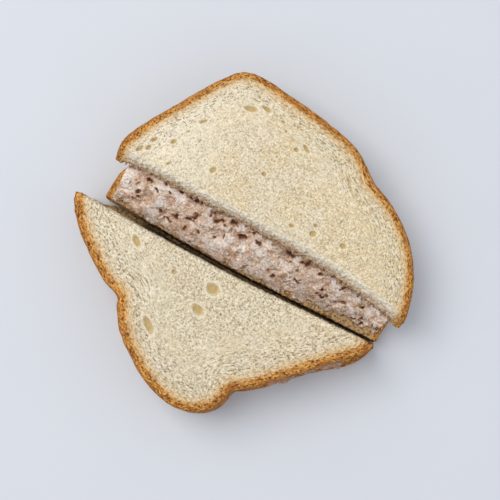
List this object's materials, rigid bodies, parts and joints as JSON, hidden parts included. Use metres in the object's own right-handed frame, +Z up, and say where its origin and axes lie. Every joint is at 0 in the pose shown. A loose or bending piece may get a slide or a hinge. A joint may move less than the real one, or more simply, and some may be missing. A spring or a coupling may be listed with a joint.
{
  "type": "tuna salad sandwich",
  "caption": "Tuna salad sandwich on white sliced bread, cut corner to corner, with the halves side by side and the filling showing at the cut.",
  "frame": {"origin": "on the surface that the sandwich lies on, below the middle of its bounding box", "axes": "+X along the cut, towards the end with the two rounded shoulders of the slice; +Y from half B to half A; +Z up"},
  "size_m": [0.1766, 0.17, 0.0407],
  "materials": {
    "white_bread": "soft porous white crumb with a golden brown baked crust round the outer edge",
    "tuna_salad": "moist pinkish beige flaked fish bound with dressing, with brown hollows between the flakes"
  },
  "bodies": {
    "root": {"half_a_bottom_slice": "white_bread", "half_a_tuna": "tuna_salad", "half_a_top_slice": "white_bread", "half_b_bottom_slice": "white_bread", "half_b_tuna": "tuna_salad", "half_b_top_slice": "white_bread"}
  },
  "joints": []
}
